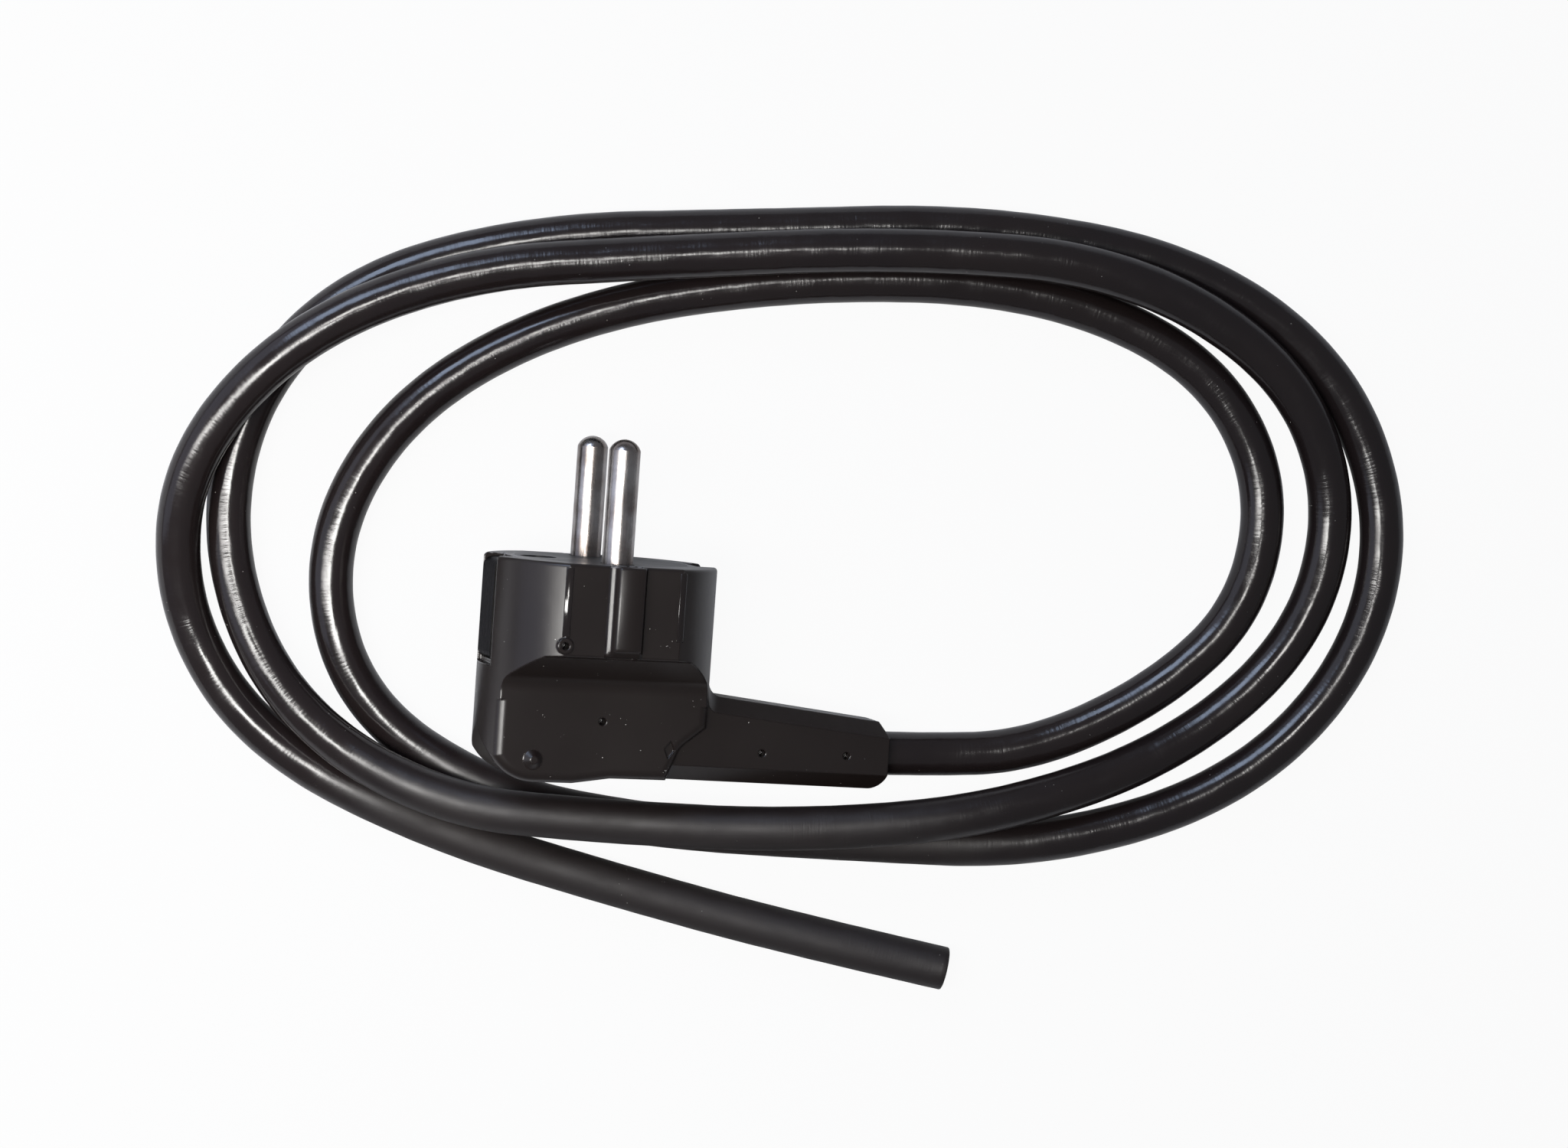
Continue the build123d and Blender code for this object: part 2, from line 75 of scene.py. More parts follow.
camera_data = bpy.data.cameras.new("camera")
camera_data.sensor_width = 36
camera_data.lens = CAMERA_LENS
camera_data.clip_start = 0.01
camera = bpy.data.objects.new("camera", camera_data)
camera.location = Vector(CAMERA_PLACE) * MM
camera.rotation_euler = Euler([math.radians(a) for a in CAMERA_TURN], "XYZ")
bpy.context.scene.collection.objects.link(camera)
bpy.context.scene.camera = camera
bpy.context.scene.view_settings.view_transform = "Standard"
print("camera above the table", round((camera.location.z - TABLE_HEIGHT) / MM), "mm")

# %% [markdown]
# ## Building materials from nodes
# Every finish is a small network of nodes. These helpers add a node, link its sockets by name and keep the
# networks short to read.


# %% Helpers for any node
def feed(tree, node, inputs):
    """The same node, with some of its inputs set to values or linked to other outputs."""
    for key, value in dict(inputs).items():
        if isinstance(value, bpy.types.NodeSocket):
            tree.links.new(value, node.inputs[key])
        else:
            node.inputs[key].default_value = value
    return node


def add(tree, kind, inputs=(), **settings):
    """A new node with its settings, and with its inputs set or linked."""
    node = tree.nodes.new(kind)
    for key, value in settings.items():
        setattr(node, key, value)
    return feed(tree, node, inputs)


def new_material(name):
    """A material with its tree and its Principled BSDF, ready for links."""
    material = bpy.data.materials.new(name)
    material.use_nodes = True
    return material, material.node_tree, material.node_tree.nodes["Principled BSDF"]


def new_group(name, inputs, outputs):
    """An empty node group with named sockets, and its input and output nodes."""
    tree = bpy.data.node_groups.new(name, "ShaderNodeTree")
    for key, (kind, default) in inputs.items():
        socket = tree.interface.new_socket(key, in_out="INPUT", socket_type=kind)
        if default is not None:
            socket.default_value = default
    for key, kind in outputs.items():
        tree.interface.new_socket(key, in_out="OUTPUT", socket_type=kind)
    return tree, tree.nodes.new("NodeGroupInput"), tree.nodes.new("NodeGroupOutput")


def use_group(tree, group, inputs):
    """The outputs of a group that is used as a node in a material's tree."""
    node = tree.nodes.new("ShaderNodeGroup")
    node.node_tree = group
    return feed(tree, node, inputs).outputs


# %% Helpers for the nodes that come up again and again
def object_place(tree):
    """Where a point lies in its piece's own coordinates, in metres."""
    return add(tree, "ShaderNodeTexCoord").outputs["Object"]


def stretched(tree, place, scale, turn=0.0):
    """A place with its axes scaled, and turned about the third one."""
    inputs = {"Vector": place, "Scale": scale, "Rotation": (0, 0, turn)}
    return add(tree, "ShaderNodeMapping", inputs).outputs[0]


def noise(tree, place, scale, detail=2.0, roughness=0.5):
    """A soft random pattern between 0 and 1."""
    inputs = {"Vector": place, "Scale": scale, "Detail": detail, "Roughness": roughness}
    return add(tree, "ShaderNodeTexNoise", inputs).outputs["Fac"]


def combine(tree, operation, first, second):
    """A Math node with two inputs."""
    return add(tree, "ShaderNodeMath", {0: first, 1: second}, operation=operation).outputs[0]


def times(tree, first, second):
    """One value multiplied by another."""
    return combine(tree, "MULTIPLY", first, second)


def ranged(tree, value, low, high, least, most):
    """A value carried from one range to another, and held at its ends."""
    inputs = {0: value, 1: low, 2: high, 3: least, 4: most}
    return add(tree, "ShaderNodeMapRange", inputs).outputs[0]


def ramp(tree, factor, *stops):
    """A grey ramp through (position, grey) stops."""
    node = add(tree, "ShaderNodeValToRGB", {"Fac": factor})
    for element, (position, grey) in zip(node.color_ramp.elements, stops):
        element.position = position
        element.color = (grey, grey, grey, 1)
    return node.outputs["Color"]


def mixed(tree, factor, first, second):
    """A colour between two colours."""
    pair = [c if isinstance(c, bpy.types.NodeSocket) else (*c, 1) for c in (first, second)]
    inputs = {"Factor": factor, 6: pair[0], 7: pair[1]}
    return add(tree, "ShaderNodeMix", inputs, data_type="RGBA").outputs[2]


def bumped(tree, height, strength, distance, **normal):
    """The surface's direction, leaning as a height says."""
    inputs = {"Height": height, "Strength": strength, "Distance": distance, **normal}
    return add(tree, "ShaderNodeBump", inputs).outputs[0]


# %% [markdown]
# ## Floor, background and lamps
# The table is plain white. A white floor that is lit plainly renders a little grey, so its material shows
# the camera mostly plain white and the rest as it is lit, which keeps the soft shadow. Under that it is
# grey, so that little light comes back up to the black object. Gloss sees a small part of the white.

# %% Floor
FLOOR_SIZE = 6.0
FLOOR_DROP = 0.00001
FLOOR_GREY = (0.42, 0.42, 0.43, 1)
PURE_WHITE = (1, 1, 1, 1)


def white_share(tree, to_camera, to_gloss):
    """How much plain white a background shows to the camera, and to rays from gloss and glass."""
    path = add(tree, "ShaderNodeLightPath").outputs
    bounced = combine(tree, "MAXIMUM", path["Is Glossy Ray"], path["Is Transmission Ray"])
    direct = times(tree, path["Is Camera Ray"], to_camera)
    return combine(tree, "MAXIMUM", direct, times(tree, bounced, to_gloss))


def show_share(tree, share, plain, white, output_kind):
    """Show the plain shader, and the white one by its share."""
    both = add(tree, "ShaderNodeMixShader", {0: share, 1: plain.outputs[0], 2: white.outputs[0]})
    output = next(n for n in tree.nodes if n.type == output_kind)
    feed(tree, output, {"Surface": both.outputs[0]})


def floor_material():
    """White to the camera, grey to the rest."""
    material, tree, shader = new_material("white_table")
    feed(tree, shader, {"Base Color": FLOOR_GREY, "Roughness": 0.6, "Specular IOR Level": 0.1})
    white = add(tree, "ShaderNodeEmission", {"Color": PURE_WHITE, "Strength": 1.0})
    share = white_share(tree, to_camera=0.94, to_gloss=0.11)
    show_share(tree, share, shader, white, "OUTPUT_MATERIAL")
    return material


half = FLOOR_SIZE / 2
corners = [(-half, -half, 0), (half, -half, 0), (half, half, 0), (-half, half, 0)]
floor_mesh = bpy.data.meshes.new("table")
floor_mesh.from_pydata(corners, [], [(0, 1, 2, 3)])
floor_mesh.materials.append(floor_material())
floor = bpy.data.objects.new("table", floor_mesh)
floor.location.z = TABLE_HEIGHT - FLOOR_DROP
bpy.context.scene.collection.objects.link(floor)
print("table", FLOOR_SIZE, "m wide")

# %% [markdown]
# The background is the same kind of white, over a dim cool grey that lights the object a little from all
# round.

# %% World
WORLD_GREY = (0.12, 0.125, 0.14, 1)

world = bpy.data.worlds.new("studio")
world.use_nodes = True
bpy.context.scene.world = world
dim = feed(world.node_tree, world.node_tree.nodes["Background"], {"Color": WORLD_GREY})
white = add(world.node_tree, "ShaderNodeBackground", {"Color": PURE_WHITE, "Strength": 1.0})
share = white_share(world.node_tree, to_camera=1.0, to_gloss=0.05)
show_share(world.node_tree, share, dim, white, "OUTPUT_WORLD")
print("background", world.name)

# %% [markdown]
# Gloss shows the lamps themselves, so each highlight in the picture says where a lamp stood. A highlight
# lies where the cord runs square to the lamp's direction, and further from the middle of the cord the
# lower the lamp stands. The picture has a cool window at the upper left, a dim pale wall on the left that
# greys the plug's round side, a long white lamp on the left and a small white one nearly overhead. The
# long lamp looks straight down with a limited spread, so that it hardly reaches the turns on the right.
# Each lamp has the point it stands over, the direction from there, the distance and size in metres, the
# colour and the power in watts.

# %% Lamps
TABLE_MIDDLE = (30, 0, -14)
PLUG_MIDDLE = (0, 0, -14)
LEFT_TURNS = (-55, -5, -14)
FULL_SPREAD = 180


def lamp(name, aim, toward, distance, size, colour, power, facing=None, spread=FULL_SPREAD):
    """An area lamp in a direction from a point, facing that point or another way."""
    data = bpy.data.lights.new(name, "AREA")
    data.shape = "RECTANGLE"
    data.size, data.size_y = size
    data.energy = power
    data.color = colour
    data.spread = math.radians(spread)
    light = bpy.data.objects.new(name, data)
    away = Vector(toward).normalized()
    light.location = Vector(aim) * MM + away * distance
    back = away if facing is None else -Vector(facing).normalized()
    light.rotation_euler = back.to_track_quat("Z", "Y").to_euler()
    bpy.context.scene.collection.objects.link(light)
    return light


lamps = [
    lamp("window", TABLE_MIDDLE, (-0.42, 0.68, 0.62), 1.2, (0.5, 0.45), (0.60, 0.74, 1.0), 5.5),
    lamp("pale_wall", PLUG_MIDDLE, (-0.86, 0.22, 0.44), 1.3, (1.7, 0.9), (0.74, 0.80, 1.0), 3.6),
    lamp(
        "long_lamp",
        LEFT_TURNS,
        (-0.48, -0.06, 0.87),
        0.5,
        (0.55, 0.08),
        (1.0, 0.985, 0.96),
        1.45,
        facing=(0.0, 0.0, -1.0),
        spread=100,
    ),
    lamp("high_lamp", TABLE_MIDDLE, (-0.07, 0.124, 1.0), 1.6, (0.25, 0.25), (1.0, 0.98, 0.95), 4.6),
]
print("lamps", len(lamps))

# %% [markdown]
# ## The cord
# The cord is one length of round flex, 7 mm thick. It leaves the sleeve, drops to the table and lies in
# oval turns that differ in size and cross each other, and it is cut off at its end. The points of the
# route below were chosen over the photograph and keep near the CAD's route. Each is x, y and the
# lift above where the cord lies flat, in millimetres, and a smooth spline has them as its controls.

# %% The cord's route
RADIUS_MM = 3.5
CORD_RADIUS = RADIUS_MM * MM
CORD_AXIS_DEPTH = 28.6
LAID_HEIGHT = TABLE_HEIGHT / MM + RADIUS_MM
ROUTE = [
    (71, -27, 0),
    (90.9, -16.3, 0),
    (104.9, -1.4, 0),
    (106.8, 20, 0),
    (94, 38.5, 0),
    (66, 48, 0),
    (29, 46.5, 0),
    (-7, 38.5, 0),
    (-33, 22, 0),
    (-44.5, -1.5, 0),
    (-38.2, -25.6, 0),
    (-15.4, -39.4, 0),
    (11, -43, 0),
    (42, -43, 0),
    (74, -42.5, 0),
    (104.2, -31.5, 0),
    (122.5, -11.5, 0),
    (127.5, 13, 0),
    (117, 37.5, 0),
    (92.5, 53, 0),
    (58, 57, 0),
    (20, 53.2, 0),
    (-14, 50, 0),
    (-42.5, 40, 0),
    (-58, 20.5, 0),
    (-60, -4.5, 0),
    (-48, -27.7, 3),
    (-23.5, -40.6, 7.6),
    (3.5, -41.6, 7.8),
    (35, -41.2, 7.6),
    (67, -36.6, 5.5),
    (95.8, -24.9, 0),
    (114.5, -5.7, 0),
    (118.5, 17.5, 0),
    (107, 38.4, 3.8),
    (79, 51.9, 7),
    (43, 52, 6.8),
    (7, 47.8, 6.5),
    (-25, 43.6, 6.8),
    (-50.8, 30.9, 8.5),
    (-66.5, 10, 5.8),
    (-66.3, -13.5, 0),
    (-52.5, -33, 0),
    (-24.5, -45.5, 0),
    (11.5, -54, 0),
    (36, -59, 0),
    (60, -63, 0),
]
FREE_START_X = 40.0
TOUCHDOWN_X = -LAID_HEIGHT / math.sin(ROLL)


def on_sleeve_axis(x):
    """A point on the sleeve's own axis, as the plug lies."""
    return (x * math.cos(ROLL), -CORD_AXIS_DEPTH, -x * math.sin(ROLL))


route = [on_sleeve_axis(FREE_START_X), on_sleeve_axis(TOUCHDOWN_X)]
route += [(x, y, LAID_HEIGHT + lift) for x, y, lift in ROUTE]
route = [Vector(point) * MM for point in route]
print("points of the route", len(route))

# %% [markdown]
# The spline itself works out the smooth line, and the line is then cut into equal steps.

# %% Read the smooth line from the spline
SPLINE_ORDER = 3
SPLINE_STEPS = 24
RING_SPACING = 1.0 * MM


def smooth_line(points):
    """The points of a NURBS spline that has the route's points as its control points."""
    data = bpy.data.curves.new("cord_line", "CURVE")
    data.dimensions = "3D"
    spline = data.splines.new("NURBS")
    spline.points.add(len(points) - 1)
    for control, point in zip(spline.points, points):
        control.co = (*point, 1)
    spline.order_u = SPLINE_ORDER
    spline.use_endpoint_u = True
    spline.resolution_u = SPLINE_STEPS
    holder = bpy.data.objects.new("cord_line", data)
    bpy.context.scene.collection.objects.link(holder)
    bpy.context.view_layer.update()
    line = bpy.data.meshes.new_from_object(holder)
    found = np.array([v.co for v in line.vertices])
    bpy.data.objects.remove(holder)
    bpy.data.meshes.remove(line)
    return found


def evenly(points, spacing):
    """Points along a line at equal distances, and the distance of each from the start."""
    steps = np.linalg.norm(np.diff(points, axis=0), axis=1)
    along = np.concatenate([[0], np.cumsum(steps)])
    count = round(along[-1] / spacing)
    wanted = np.linspace(0, along[-1], count + 1)
    return np.stack([np.interp(wanted, along, points[:, k]) for k in range(3)], 1), wanted


line, distance = evenly(smooth_line(route), RING_SPACING)

# %% [markdown]
# A tube could come from the curve's own bevel, but a mesh of rings gives three things more: a map of
# distance along and angle round the cord for its fine wrinkles, a thickness that varies as an extruded
# sheath's does, and a cut end with a softened edge. The map's seam lies underneath.

# %% Build the tube
RING_SIDES = 40
MAP_UNIT = 10
UNEVEN = 0.006
UNEVEN_FROM = 0.6
WAVES = ((0.021, 0.0, 1), (0.0093, 1.7, 2), (0.0047, 4.1, 3))
END_SETBACK = 0.05 * MM
END_ROUND = 0.25 * MM
END_STEPS = ((1.0, 0.0), (0.3, 0.3), (0.0, 1.0))


def unevenness(s, angle):
    """A slow wave between -1 and 1 over the distance along the cord and the angle round it."""
    waves = [math.sin(2 * math.pi * s / wave + phase + k * angle) for wave, phase, k in WAVES]
    return sum(waves) / len(WAVES)


def tube_rings(line, distance, radius):
    """The centre, two directions across, distance and radius of each ring, with the end stepped in."""
    tangents = np.gradient(line, axis=0)
    tangents /= np.linalg.norm(tangents, axis=1)[:, None]
    side = np.cross(np.array([0, 0, 1.0]), tangents)
    side /= np.linalg.norm(side, axis=1)[:, None]
    up = np.cross(tangents, side)
    rings = [(line[i], side[i], up[i], distance[i], radius) for i in range(len(line) - 1)]
    for short, narrow in END_STEPS:
        centre = line[-1] - tangents[-1] * (END_SETBACK + END_ROUND * short)
        rings.append((centre, side[-1], up[-1], distance[-1], radius - END_ROUND * narrow))
    return rings


def tube_mesh(name, rings):
    """A closed tube through the rings, with its far end flat."""
    mesh = bmesh.new()
    layer = mesh.loops.layers.uv.new("along_and_round")
    made = []
    for centre, across, rise, s, radius in rings:
        ring = []
        for k in range(RING_SIDES):
            angle = 2 * math.pi * k / RING_SIDES - math.pi / 2
            swell = 1 + UNEVEN * min(0.0, unevenness(s, angle) - UNEVEN_FROM)
            offset = (across * math.cos(angle) + rise * math.sin(angle)) * radius * swell
            ring.append(mesh.verts.new(centre + offset))
        made.append(ring)
    for i in range(len(made) - 1):
        s0, s1 = rings[i][3], rings[i + 1][3]
        for k in range(RING_SIDES):
            j = (k + 1) % RING_SIDES
            face = mesh.faces.new((made[i][k], made[i][j], made[i + 1][j], made[i + 1][k]))
            face.smooth = True
            places = ((s0, k), (s0, k + 1), (s1, k + 1), (s1, k))
            for loop, (reach, turn) in zip(face.loops, places):
                loop[layer].uv = (reach / MM / MAP_UNIT, turn / RING_SIDES)
    end = mesh.faces.new(made[-1])
    end.smooth = False
    end.material_index = 1
    mesh.faces.new(list(reversed(made[0])))
    mesh.normal_update()
    bmesh.ops.recalc_face_normals(mesh, faces=mesh.faces)
    data = bpy.data.meshes.new(name)
    mesh.to_mesh(data)
    mesh.free()
    return data


cord = bpy.data.objects.new("cord", tube_mesh("cord", tube_rings(line, distance, CORD_RADIUS)))
bpy.context.scene.collection.objects.link(cord)
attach(cord, "root")
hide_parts("cord_sheath")
print("cord faces", len(cord.data.polygons))

# %% [markdown]
# ## Fine effects that several finishes share
# Black plastic looks real through small things: a faint orange-peel waviness from the mould, fine dust and
# nicks, and tone that drifts from place to place. Each is one node group, used with its own values.

# %% Dust and nicks
FLOAT, VECTOR = "NodeSocketFloat", "NodeSocketVector"
DUST_CLUSTERS = 0.21
DUST_RADIUS = 0.18


def dust_group():
    """Specks that lie thicker in some places than in others."""
    inputs = {"Vector": (VECTOR, None), "Scale": (FLOAT, 900.0), "Amount": (FLOAT, 0.5)}
    tree, start, end = new_group("dust_specks", inputs, {"Mask": FLOAT})
    place, scale, amount = (start.outputs[key] for key in inputs)
    cells = add(tree, "ShaderNodeTexVoronoi", {"Vector": place, "Scale": scale, "Randomness": 1.0})
    clusters = noise(tree, place, times(tree, scale, DUST_CLUSTERS))
    limit = ranged(tree, clusters, 0.56, 0.78, 0.0, DUST_RADIUS)
    mask = combine(tree, "LESS_THAN", cells.outputs["Distance"], times(tree, limit, amount))
    feed(tree, end, {"Mask": mask})
    return tree


# %% Orange peel of a moulding
DRIFT_SCALE = 0.12


def peel_group():
    """A fine waviness as a height, and a much slower drift."""
    inputs = {"Vector": (VECTOR, None), "Scale": (FLOAT, 300.0), "Strength": (FLOAT, 0.1)}
    tree, start, end = new_group("orange_peel", inputs, {"Height": FLOAT, "Drift": FLOAT})
    place, scale, strength = (start.outputs[key] for key in inputs)
    fine = noise(tree, place, scale, detail=3.0)
    drift = noise(tree, place, times(tree, scale, DRIFT_SCALE))
    feed(tree, end, {"Height": times(tree, fine, strength), "Drift": drift})
    return tree


DUST = dust_group()
PEEL = peel_group()
print("node groups", len(bpy.data.node_groups))

# %% [markdown]
# ## The cord's sheath
# The sheath is soft black PVC. Where it bends, its skin gathers in very fine wrinkles that run round the
# cord, so a highlight along it has a ragged edge. The wrinkles come from noise that is stretched across the
# map of distance and angle, and patches of smoother skin leave the highlight clean. The stretches below the
# plug look rubbed matt in the picture, so a mask of the place makes them rough.

# %% Sheath material
WRINKLE_SCALE = (22.0, 5.0, 1.0)
WRINKLE_SLANT = 0.05
PATCH_SCALE = (0.33, 1.5, 1.0)
RUBBED_BELOW = (-30 * MM, -44 * MM)
RUBBED_RIGHT_END = (82 * MM, 50 * MM)
RUBBED_LEFT_END = (-50 * MM, -30 * MM)
SHEATH_TONES = ((0.0084, 0.0062, 0.0068), (0.0140, 0.0100, 0.0094))
SHEATH_DUST = (0.30, 0.29, 0.27)


def rubbed_mask(tree, place):
    """1 on the rubbed stretches, fading to 0 round them."""
    where = add(tree, "ShaderNodeSeparateXYZ", {0: place}).outputs
    low = ranged(tree, where["Y"], *RUBBED_BELOW, 0.0, 1.0)
    right = ranged(tree, where["X"], *RUBBED_RIGHT_END, 0.0, 1.0)
    left = ranged(tree, where["X"], *RUBBED_LEFT_END, 0.0, 1.0)
    return times(tree, times(tree, low, right), left)


def sheath_material():
    """Black PVC with wrinkles, dust and rubbed stretches."""
    material, tree, shader = new_material("black_sheath")
    place = object_place(tree)
    along = add(tree, "ShaderNodeTexCoord").outputs["UV"]
    wrinkle_place = stretched(tree, along, WRINKLE_SCALE, WRINKLE_SLANT)
    wrinkles = noise(tree, wrinkle_place, 1.0, detail=3.0, roughness=0.55)
    patches = noise(tree, stretched(tree, along, PATCH_SCALE), 5.0)
    peel = use_group(tree, PEEL, {"Vector": place, "Scale": 520.0, "Strength": 0.35})
    dust = use_group(tree, DUST, {"Vector": place, "Scale": 1100.0, "Amount": 0.7})["Mask"]
    height = times(tree, wrinkles, ramp(tree, patches, (0.42, 0.25), (0.66, 1.0)))
    height = combine(tree, "ADD", height, peel["Height"])
    height = combine(tree, "ADD", height, times(tree, dust, 1.5))
    rough = ranged(tree, patches, 0.3, 0.7, 0.13, 0.24)
    rough = combine(tree, "ADD", rough, times(tree, rubbed_mask(tree, place), 0.45))
    rough = combine(tree, "ADD", rough, times(tree, dust, 0.3))
    tone = mixed(tree, dust, mixed(tree, peel["Drift"], *SHEATH_TONES), SHEATH_DUST)
    bump = bumped(tree, height, 0.42, 0.00012)
    feed(tree, shader, {"Base Color": tone, "Roughness": rough, "Normal": bump})
    return material


def cut_face_material():
    """The sheath's section at the cut end, grainy and matt."""
    material, tree, shader = new_material("cut_sheath")
    grain = noise(tree, object_place(tree), 1500.0, detail=4.0)
    tone = mixed(tree, grain, (0.012, 0.011, 0.011), (0.05, 0.047, 0.045))
    bump = bumped(tree, grain, 0.5, 0.0001)
    feed(tree, shader, {"Base Color": tone, "Roughness": 0.6, "Normal": bump})
    return material


cord.data.materials.append(sheath_material())
cord.data.materials.append(cut_face_material())
print("cord finishes", len(cord.data.materials))

# %% [markdown]
# ## The moulded plug
# The plug is harder PVC with a gloss from the polished mould. It is black, faintly warm on the flats, with
# a few specks of dust and a light waviness. The CAD's edges are perfectly sharp, so a Bevel node rounds them
# for the light alone. Where that rounded direction leaves the true one lies an edge, and edges are a little
# glossier from handling. The edge round the face is scuffed pale.

# %% The plug's moulding
EDGE_ROUNDING = 0.35 * MM
EDGE_GLOSS = 0.14
FACE_EDGE = (-1.1 * MM, -0.5 * MM)
MOULDING_TONES = ((0.0080, 0.0054, 0.0050), (0.0124, 0.0086, 0.0072))
MOULDING_DUST = (0.42, 0.41, 0.39)
SCUFF_TONE = (0.22, 0.21, 0.21)


def edge_mask(tree, rounded):
    """1 where the rounded direction leaves the surface's own, so on edges."""
    own = add(tree, "ShaderNodeNewGeometry").outputs["Normal"]
    inputs = {0: rounded, 1: own}
    level = add(tree, "ShaderNodeVectorMath", inputs, operation="DOT_PRODUCT").outputs["Value"]
    return ranged(tree, level, 0.998, 0.95, 0.0, 1.0)


def moulding_material():
    """Black PVC with rounded, polished edges, dust and a scuffed rim."""
    material, tree, shader = new_material("black_moulding")
    place = object_place(tree)
    peel = use_group(tree, PEEL, {"Vector": place, "Scale": 380.0, "Strength": 1.0})
    dust = use_group(tree, DUST, {"Vector": place, "Scale": 1500.0, "Amount": 1.0})["Mask"]
    rounded = add(tree, "ShaderNodeBevel", {"Radius": EDGE_ROUNDING}, samples=8).outputs["Normal"]
    edge = edge_mask(tree, rounded)
    behind = add(tree, "ShaderNodeSeparateXYZ", {0: place}).outputs["Y"]
    rim = times(tree, edge, ranged(tree, behind, *FACE_EDGE, 0.0, 1.0))
    ragged = noise(tree, place, 1400.0, detail=3.0)
    scuff = ramp(tree, times(tree, rim, ragged), (0.42, 0.0), (0.52, 1.0))
    tone = mixed(tree, scuff, mixed(tree, peel["Drift"], *MOULDING_TONES), SCUFF_TONE)
    tone = mixed(tree, dust, tone, MOULDING_DUST)
    rough = ranged(tree, peel["Drift"], 0.3, 0.7, 0.28, 0.36)
    rough = add(tree, "ShaderNodeMix", {"Factor": edge, 2: rough, 3: EDGE_GLOSS}).outputs[0]
    height = combine(tree, "ADD", peel["Height"], dust)
    bump = bumped(tree, height, 0.12, 0.0002, Normal=rounded)
    feed(tree, shader, {"Base Color": tone, "Roughness": rough, "Normal": bump})
    return material


# %% [markdown]
# The pins are nickel plated and tarnished in patches, the earth strip is dark steel, and both show fine
# lines from drawing. The cores are coloured plastic, and the wires in them are stranded copper.


# %% Metals
def nickel_material():
    """Plated pins with lines along them and brown patches."""
    material, tree, shader = new_material("nickel")
    place = object_place(tree)
    lines = noise(tree, stretched(tree, place, (1.0, 0.06, 1.0)), 2600.0, detail=3.0)
    tarnish = ramp(tree, noise(tree, place, 240.0, detail=3.0), (0.35, 0.0), (0.75, 1.0))
    tone = mixed(tree, tarnish, (0.50, 0.48, 0.47), (0.22, 0.18, 0.16))
    rough = ranged(tree, lines, 0.3, 0.7, 0.19, 0.32)
    bump = bumped(tree, lines, 0.08, 0.0001)
    feed(tree, shader, {"Metallic": 1.0, "Base Color": tone, "Roughness": rough, "Normal": bump})
    return material


def steel_material():
    """Dark strip steel that stays dark when it is seen at a slant."""
    material, tree, shader = new_material("contact_steel")
    lines = noise(tree, stretched(tree, object_place(tree), (1.0, 0.08, 1.0)), 1800.0, detail=4.0)
    tone = mixed(tree, lines, (0.032, 0.032, 0.033), (0.075, 0.072, 0.068))
    rough = ranged(tree, lines, 0.3, 0.7, 0.24, 0.40)
    bump = bumped(tree, lines, 0.1, 0.0001)
    feed(tree, shader, {"Metallic": 1.0, "Base Color": tone, "Roughness": rough, "Normal": bump})
    feed(tree, shader, {"Specular Tint": (0.35, 0.35, 0.36, 1)})
    return material


def copper_material():
    """Fine copper strands, with painted shade in the gaps between them."""
    material, tree, shader = new_material("copper")
    cells = {"Vector": object_place(tree), "Scale": 4200.0}
    strands = add(tree, "ShaderNodeTexVoronoi", cells).outputs["Distance"]
    # The darker copper towards each cell's edge is painted shade in the gaps between the strands.
    tone = mixed(tree, strands, (0.86, 0.47, 0.30), (0.40, 0.17, 0.10))
    bump = bumped(tree, strands, 0.4, 0.0001)
    feed(tree, shader, {"Metallic": 1.0, "Base Color": tone, "Roughness": 0.35, "Normal": bump})
    return material


# %% Plain plastics
ROUGHNESS_DRIFT = 0.06


def plastic_material(name, dark, light, roughness, grain=900.0):
    """A plain plastic whose tone and gloss drift a little."""
    material, tree, shader = new_material(name)
    peel = use_group(tree, PEEL, {"Vector": object_place(tree), "Scale": grain, "Strength": 1.0})
    tone = mixed(tree, peel["Drift"], dark, light)
    least, most = roughness - ROUGHNESS_DRIFT, roughness + ROUGHNESS_DRIFT
    rough = ranged(tree, peel["Drift"], 0.3, 0.7, least, most)
    bump = bumped(tree, peel["Height"], 0.15, 0.0001)
    feed(tree, shader, {"Base Color": tone, "Roughness": rough, "Normal": bump})
    return material


def earth_core_material():
    """Green and yellow bands with a sharp border."""
    material, tree, shader = new_material("core_green_yellow")
    waves = {"Vector": object_place(tree), "Scale": 180.0, "Distortion": 1.0}
    bands = add(tree, "ShaderNodeTexWave", waves).outputs["Fac"]
    split = ramp(tree, bands, (0.48, 0.0), (0.52, 1.0))
    tone = mixed(tree, split, (0.05, 0.28, 0.04), (0.75, 0.62, 0.03))
    feed(tree, shader, {"Base Color": tone, "Roughness": 0.4})
    return material


# %% [markdown]
# ## Ribs and soft corners
# Two kinds of detail are added to the plug as skins of their own. Each is drawn as rings of points in the
# plug's square drawing, in millimetres, then rolled as the plug lies and closed at both ends.


# %% A closed skin on the plug
def plug_skin(name, rings, smooth_sides):
    """A closed piece through the rings, whose first sides shade smoothly."""
    mesh = bmesh.new()
    made = [[mesh.verts.new(PLUG_TO_ROW @ (Vector(point) * MM)) for point in ring] for ring in rings]
    for first, second in zip(made, made[1:]):
        for k in range(len(first)):
            j = (k + 1) % len(first)
            face = mesh.faces.new((first[k], first[j], second[j], second[k]))
            face.smooth = k < smooth_sides
    mesh.faces.new(made[0])
    mesh.faces.new(made[-1])
    bmesh.ops.recalc_face_normals(mesh, faces=mesh.faces)
    data = bpy.data.meshes.new(name)
    mesh.to_mesh(data)
    mesh.free()
    piece = bpy.data.objects.new(name, data)
    bpy.context.scene.collection.objects.link(piece)
    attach(piece, "root")
    return piece


